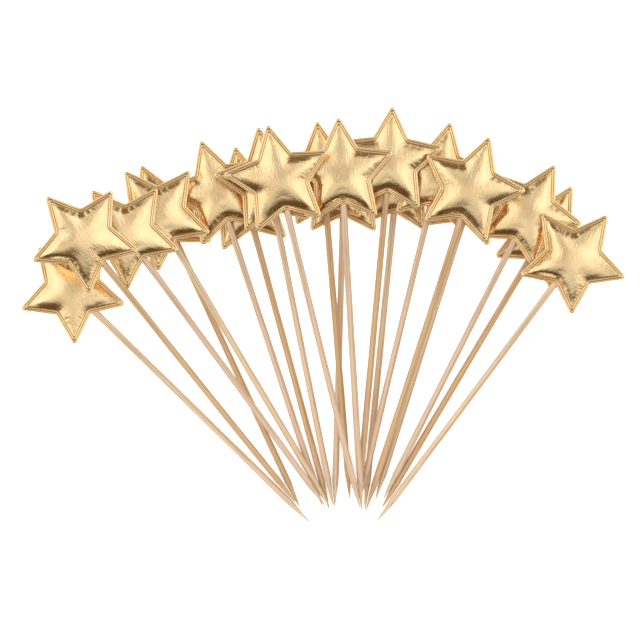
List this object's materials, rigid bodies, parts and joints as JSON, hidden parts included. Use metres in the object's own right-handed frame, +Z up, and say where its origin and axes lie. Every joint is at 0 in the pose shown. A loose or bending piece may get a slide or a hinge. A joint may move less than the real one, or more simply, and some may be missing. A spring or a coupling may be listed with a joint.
{
  "type": "cake topper",
  "caption": "Fan of padded metallic gold star cake picks, each star welded from leather sheets round a foam core and glued on a pointed bamboo skewer.",
  "frame": {"origin": "middle of the fan's plan box, on the table", "axes": "+Z up from the table, +Y from the skewer points to the stars, +X across the fan"},
  "size_m": [0.2826, 0.1938, 0.0392],
  "materials": {
    "gold_leather": "metallic coated, fine grain",
    "foam": "open foam",
    "bamboo": "bare split bamboo"
  },
  "bodies": {
    "pick_14": {"pick_14_covers": "gold_leather", "pick_14_foam_core": "foam", "pick_14_skewer": "bamboo"},
    "pick_05": {"pick_05_covers": "gold_leather", "pick_05_foam_core": "foam", "pick_05_skewer": "bamboo"},
    "pick_19": {"pick_19_covers": "gold_leather", "pick_19_foam_core": "foam", "pick_19_skewer": "bamboo"},
    "pick_01": {"pick_01_covers": "gold_leather", "pick_01_foam_core": "foam", "pick_01_skewer": "bamboo"},
    "pick_07": {"pick_07_covers": "gold_leather", "pick_07_foam_core": "foam", "pick_07_skewer": "bamboo"},
    "pick_17": {"pick_17_covers": "gold_leather", "pick_17_foam_core": "foam", "pick_17_skewer": "bamboo"},
    "pick_11": {"pick_11_covers": "gold_leather", "pick_11_foam_core": "foam", "pick_11_skewer": "bamboo"},
    "pick_18": {"pick_18_covers": "gold_leather", "pick_18_foam_core": "foam", "pick_18_skewer": "bamboo"},
    "pick_06": {"pick_06_covers": "gold_leather", "pick_06_foam_core": "foam", "pick_06_skewer": "bamboo"},
    "pick_15": {"pick_15_covers": "gold_leather", "pick_15_foam_core": "foam", "pick_15_skewer": "bamboo"},
    "pick_10": {"pick_10_covers": "gold_leather", "pick_10_foam_core": "foam", "pick_10_skewer": "bamboo"},
    "pick_20": {"pick_20_covers": "gold_leather", "pick_20_foam_core": "foam", "pick_20_skewer": "bamboo"},
    "pick_04": {"pick_04_covers": "gold_leather", "pick_04_foam_core": "foam", "pick_04_skewer": "bamboo"},
    "pick_13": {"pick_13_covers": "gold_leather", "pick_13_foam_core": "foam", "pick_13_skewer": "bamboo"},
    "pick_08": {"pick_08_covers": "gold_leather", "pick_08_foam_core": "foam", "pick_08_skewer": "bamboo"},
    "pick_16": {"pick_16_covers": "gold_leather", "pick_16_foam_core": "foam", "pick_16_skewer": "bamboo"},
    "pick_03": {"pick_03_covers": "gold_leather", "pick_03_foam_core": "foam", "pick_03_skewer": "bamboo"},
    "pick_12": {"pick_12_covers": "gold_leather", "pick_12_foam_core": "foam", "pick_12_skewer": "bamboo"},
    "pick_09": {"pick_09_covers": "gold_leather", "pick_09_foam_core": "foam", "pick_09_skewer": "bamboo"},
    "pick_02": {"pick_02_covers": "gold_leather", "pick_02_foam_core": "foam", "pick_02_skewer": "bamboo"}
  },
  "joints": [
    {"name": "pick_05_lift", "type": "slide", "parent": "pick_14", "child": "pick_05", "axis": [0, 0, 1], "range_m": [0, 0.03]},
    {"name": "pick_19_lift", "type": "slide", "parent": "pick_05", "child": "pick_19", "axis": [0, 0, 1], "range_m": [0, 0.03]},
    {"name": "pick_01_lift", "type": "slide", "parent": "pick_19", "child": "pick_01", "axis": [0, 0, 1], "range_m": [0, 0.03]},
    {"name": "pick_07_lift", "type": "slide", "parent": "pick_01", "child": "pick_07", "axis": [0, 0, 1], "range_m": [0, 0.03]},
    {"name": "pick_17_lift", "type": "slide", "parent": "pick_07", "child": "pick_17", "axis": [0, 0, 1], "range_m": [0, 0.03]},
    {"name": "pick_11_lift", "type": "slide", "parent": "pick_17", "child": "pick_11", "axis": [0, 0, 1], "range_m": [0, 0.03]},
    {"name": "pick_18_lift", "type": "slide", "parent": "pick_11", "child": "pick_18", "axis": [0, 0, 1], "range_m": [0, 0.03]},
    {"name": "pick_06_lift", "type": "slide", "parent": "pick_18", "child": "pick_06", "axis": [0, 0, 1], "range_m": [0, 0.03]},
    {"name": "pick_15_lift", "type": "slide", "parent": "pick_06", "child": "pick_15", "axis": [0, 0, 1], "range_m": [0, 0.03]},
    {"name": "pick_10_lift", "type": "slide", "parent": "pick_15", "child": "pick_10", "axis": [0, 0, 1], "range_m": [0, 0.03]},
    {"name": "pick_20_lift", "type": "slide", "parent": "pick_10", "child": "pick_20", "axis": [0, 0, 1], "range_m": [0, 0.03]},
    {"name": "pick_04_lift", "type": "slide", "parent": "pick_20", "child": "pick_04", "axis": [0, 0, 1], "range_m": [0, 0.03]},
    {"name": "pick_13_lift", "type": "slide", "parent": "pick_04", "child": "pick_13", "axis": [0, 0, 1], "range_m": [0, 0.03]},
    {"name": "pick_08_lift", "type": "slide", "parent": "pick_13", "child": "pick_08", "axis": [0, 0, 1], "range_m": [0, 0.03]},
    {"name": "pick_16_lift", "type": "slide", "parent": "pick_08", "child": "pick_16", "axis": [0, 0, 1], "range_m": [0, 0.03]},
    {"name": "pick_03_lift", "type": "slide", "parent": "pick_16", "child": "pick_03", "axis": [0, 0, 1], "range_m": [0, 0.03]},
    {"name": "pick_12_lift", "type": "slide", "parent": "pick_03", "child": "pick_12", "axis": [0, 0, 1], "range_m": [0, 0.03]},
    {"name": "pick_09_lift", "type": "slide", "parent": "pick_12", "child": "pick_09", "axis": [0, 0, 1], "range_m": [0, 0.03]},
    {"name": "pick_02_lift", "type": "slide", "parent": "pick_09", "child": "pick_02", "axis": [0, 0, 1], "range_m": [0, 0.03]}
  ]
}
